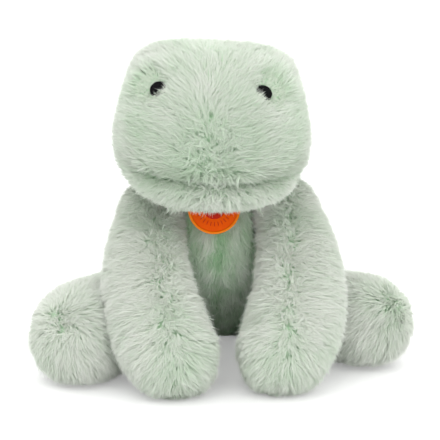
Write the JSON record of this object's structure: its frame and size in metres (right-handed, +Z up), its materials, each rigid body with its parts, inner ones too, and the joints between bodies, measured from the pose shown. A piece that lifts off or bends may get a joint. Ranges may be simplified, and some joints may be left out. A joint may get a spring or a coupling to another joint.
{
  "type": "plush frog",
  "caption": "Seated mint-green long-pile plush frog with soft arms and legs, embroidered eyes and a plain round orange medallion at the neck",
  "frame": {"origin": "middle of the flat under the seat, on the surface that the frog sits on", "axes": "+Z up, -Y the way the frog faces, +X the frog's own left"},
  "size_m": [0.2762, 0.1957, 0.2375],
  "materials": {
    "long_pile": "combed long pile",
    "short_pile": "short pile",
    "embroidery": "satin stitch",
    "fibre": "loose fibre",
    "pouch_cloth": "plain weave",
    "cord": "twisted cord",
    "medallion_orange": "satin",
    "medallion_red": "satin"
  },
  "bodies": {
    "body": {"body_skin": "long_pile", "body_filling": "fibre", "seat_pouch": "pouch_cloth", "medallion_loop": "cord"},
    "head": {"head_skin": "long_pile", "head_filling": "fibre", "eye_patch_left": "short_pile", "eye_patch_right": "short_pile", "eye_pupil_left": "embroidery", "eye_pupil_right": "embroidery"},
    "arm_left": {"arm_left_skin": "long_pile", "arm_left_filling": "fibre"},
    "arm_right": {"arm_right_skin": "long_pile", "arm_right_filling": "fibre"},
    "leg_left": {"leg_left_skin": "long_pile", "leg_left_filling": "fibre"},
    "leg_right": {"leg_right_skin": "long_pile", "leg_right_filling": "fibre"},
    "medallion": {"medallion_disc": "medallion_orange", "medallion_centre": "medallion_red"}
  },
  "joints": [
    {"name": "head_turn", "type": "hinge", "parent": "body", "child": "head", "pos_m": [-0.006, -0.038, 0.13], "axis": [0, 0, 1], "range_deg": [-15, 15]},
    {"name": "arm_left_swing", "type": "hinge", "parent": "body", "child": "arm_left", "pos_m": [0.046, -0.046, 0.1095], "axis": [-1, 0, 0], "range_deg": [0, 25]},
    {"name": "arm_right_swing", "type": "hinge", "parent": "body", "child": "arm_right", "pos_m": [-0.046, -0.046, 0.1095], "axis": [-1, 0, 0], "range_deg": [0, 25]},
    {"name": "leg_left_spread", "type": "hinge", "parent": "body", "child": "leg_left", "pos_m": [0.044, -0.01, 0.032], "axis": [0, 0, 1], "range_deg": [0, 30]},
    {"name": "leg_right_spread", "type": "hinge", "parent": "body", "child": "leg_right", "pos_m": [-0.054, -0.01, 0.032], "axis": [0, 0, -1], "range_deg": [0, 30]},
    {"name": "medallion_swing", "type": "hinge", "parent": "body", "child": "medallion", "pos_m": [-0.006, -0.0734, 0.14055], "axis": [-1, 0, 0], "range_deg": [0, 20]}
  ]
}
